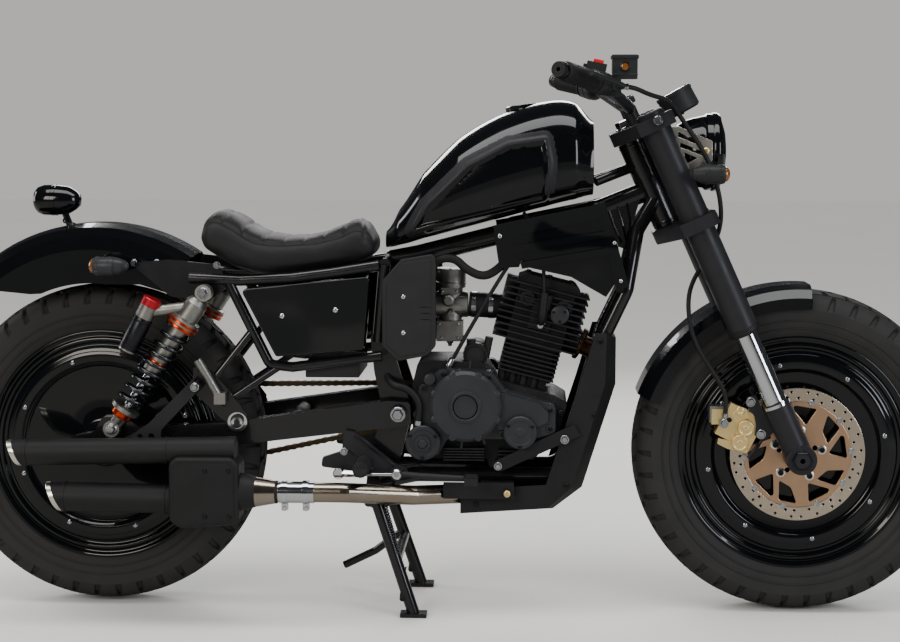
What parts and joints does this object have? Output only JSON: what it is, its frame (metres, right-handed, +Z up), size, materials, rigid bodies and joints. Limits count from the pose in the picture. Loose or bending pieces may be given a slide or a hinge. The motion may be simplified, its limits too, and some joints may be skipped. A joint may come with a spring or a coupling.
{
  "type": "cruiser motorcycle",
  "caption": "Low custom cruiser motorcycle: finned engine, solo seat, twin shocks, drilled front disc, fat block-tread tyres, on its centre stand.",
  "frame": {"origin": "on the ground, under the middle of the wheelbase and the middle of the handlebar", "axes": "+X forward, +Y to the rider's left, +Z up"},
  "size_m": [2.0136, 0.798, 1.0882],
  "materials": {
    "tyre": "matt block tread",
    "wheel_black": "gloss black",
    "disc_steel": "brushed and drilled",
    "gold_alloy": "gold anodised",
    "frame_black": "gloss black",
    "satin_black": "satin black",
    "engine_black": "satin black heat paint",
    "cover_grey": "satin dark grey",
    "tank_black": "deep gloss black",
    "chrome": "polished",
    "cast_alloy": "as cast",
    "exhaust_steel": "heat tinted",
    "muffler_black": "matt black heat paint",
    "seat_leather": "dark grey, cross sewn",
    "rubber": "matt",
    "black_plastic": "fine grain",
    "lamp": "gloss black shell",
    "spring_steel": "black with bright edges",
    "bracket_alloy": "brushed"
  },
  "bodies": {
    "chassis": {"rear_axle": "chrome", "chain": "spring_steel", "gearbox_sprocket": "disc_steel", "hoses": "rubber", "frame_backbone": "frame_black", "frame_cradle": "frame_black", "frame_subframe": "frame_black", "swingarm": "frame_black", "shock_bodies": "cast_alloy", "shock_springs": "spring_steel", "rear_mudguard": "tank_black", "fuel_tank": "tank_black", "seat": "seat_leather", "side_boxes": "tank_black", "air_box": "black_plastic", "engine_case": "engine_black", "right_engine_cover": "cover_grey", "left_engine_cover": "cover_grey", "engine_cylinder": "engine_black", "engine_head": "engine_black", "carburettor": "cast_alloy", "intake_manifold": "rubber", "exhaust_pipe": "exhaust_steel", "muffler": "muffler_black", "muffler_hanger": "satin_black", "skid_plate": "satin_black", "front_slats": "satin_black", "front_shrouds": "tank_black", "tail_light": "lamp", "rear_indicators": "black_plastic", "footpegs": "cast_alloy", "foot_levers": "satin_black"},
    "steering": {"yokes": "satin_black", "fork_tubes": "satin_black", "fork_stanchions": "chrome", "fork_lowers": "satin_black", "handlebar": "satin_black", "grips": "rubber", "bar_controls": "black_plastic", "gauge": "black_plastic", "headlight": "lamp", "headlight_bracket": "bracket_alloy", "front_indicators": "black_plastic", "front_mudguard": "tank_black", "brake_caliper": "gold_alloy", "brake_hose": "rubber", "front_axle": "satin_black"},
    "front_wheel_body": {"front_tyre": "tyre", "front_wheel": "wheel_black", "brake_disc": "disc_steel", "disc_carrier": "gold_alloy"},
    "rear_wheel_body": {"rear_tyre": "tyre", "rear_wheel": "wheel_black", "rear_sprocket": "disc_steel"},
    "stand_body": {"centre_stand": "satin_black"}
  },
  "joints": [
    {"name": "steering_turn", "type": "hinge", "parent": "chassis", "child": "steering", "pos_m": [0.34795, 0, 0.95372], "axis": [-0.4115, 0, 0.9114], "range_deg": [-35, 35]},
    {"name": "front_wheel_spin", "type": "hinge", "parent": "steering", "child": "front_wheel_body", "pos_m": [0.68675, 0, 0.32], "axis": [0, 1, 0], "continuous": true},
    {"name": "rear_wheel_spin", "type": "hinge", "parent": "chassis", "child": "rear_wheel_body", "pos_m": [-0.68675, 0, 0.32472], "axis": [0, 1, 0], "continuous": true},
    {"name": "stand_fold", "type": "hinge", "parent": "chassis", "child": "stand_body", "pos_m": [-0.13705, 0, 0.23072], "axis": [0, 1, 0], "range_deg": [0, 75]}
  ]
}
